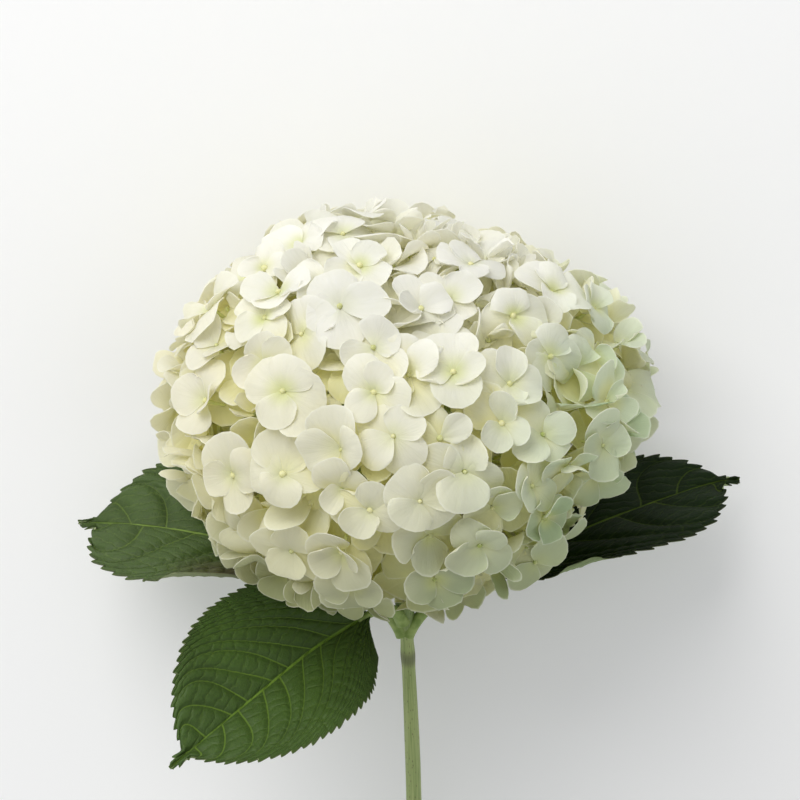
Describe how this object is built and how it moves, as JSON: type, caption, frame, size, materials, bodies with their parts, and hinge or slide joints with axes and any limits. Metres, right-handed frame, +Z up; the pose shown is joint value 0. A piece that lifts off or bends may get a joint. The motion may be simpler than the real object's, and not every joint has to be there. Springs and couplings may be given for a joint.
{
  "type": "cut hydrangea",
  "caption": "Cut mophead hydrangea lying on its side: a domed head of florets on a forked stem with toothed leaves.",
  "frame": {"origin": "the flat spot of pressed petals that the head rests on, straight below the head's centre, on the surface", "axes": "+Z up from the surface, +Y from the stem's cut end towards the head, +X across the head to the right seen from the cut end"},
  "size_m": [0.2882, 0.405, 0.1854],
  "materials": {
    "rind": "matte",
    "petals": "matte",
    "foliage": "satin"
  },
  "bodies": {
    "root": {"stem": "rind", "flower_head": "petals", "leaf_left": "foliage", "leaf_right": "foliage", "leaf_front": "foliage"}
  },
  "joints": []
}
